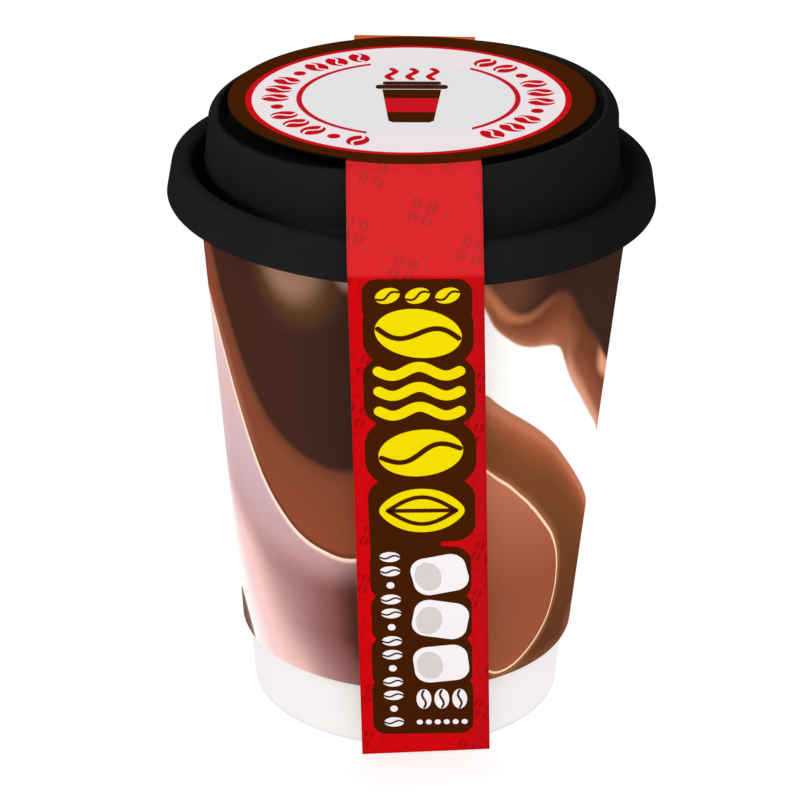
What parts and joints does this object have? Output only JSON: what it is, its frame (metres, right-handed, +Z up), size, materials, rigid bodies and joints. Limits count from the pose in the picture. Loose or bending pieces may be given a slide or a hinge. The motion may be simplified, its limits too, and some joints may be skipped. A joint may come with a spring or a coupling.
{
  "type": "hot chocolate cup pack",
  "caption": "Shut paper hot-drink cup with a printed outer wrap, a black travel lid and a printed card band over its top, sold as a hot chocolate gift pack.",
  "frame": {"origin": "centre of the cup's foot, at the level of the table it stands on", "axes": "+Z up along the cup's axis, -Y towards the side with the front strip of the card band"},
  "size_m": [0.094, 0.0972, 0.1256],
  "materials": {
    "white_paper": "matt",
    "printed_paper": "satin print",
    "black_plastic": "matt",
    "printed_card": "satin print"
  },
  "bodies": {
    "root": {"cup": "white_paper", "sleeve": "printed_paper", "lid": "black_plastic", "band": "printed_card"}
  },
  "joints": []
}
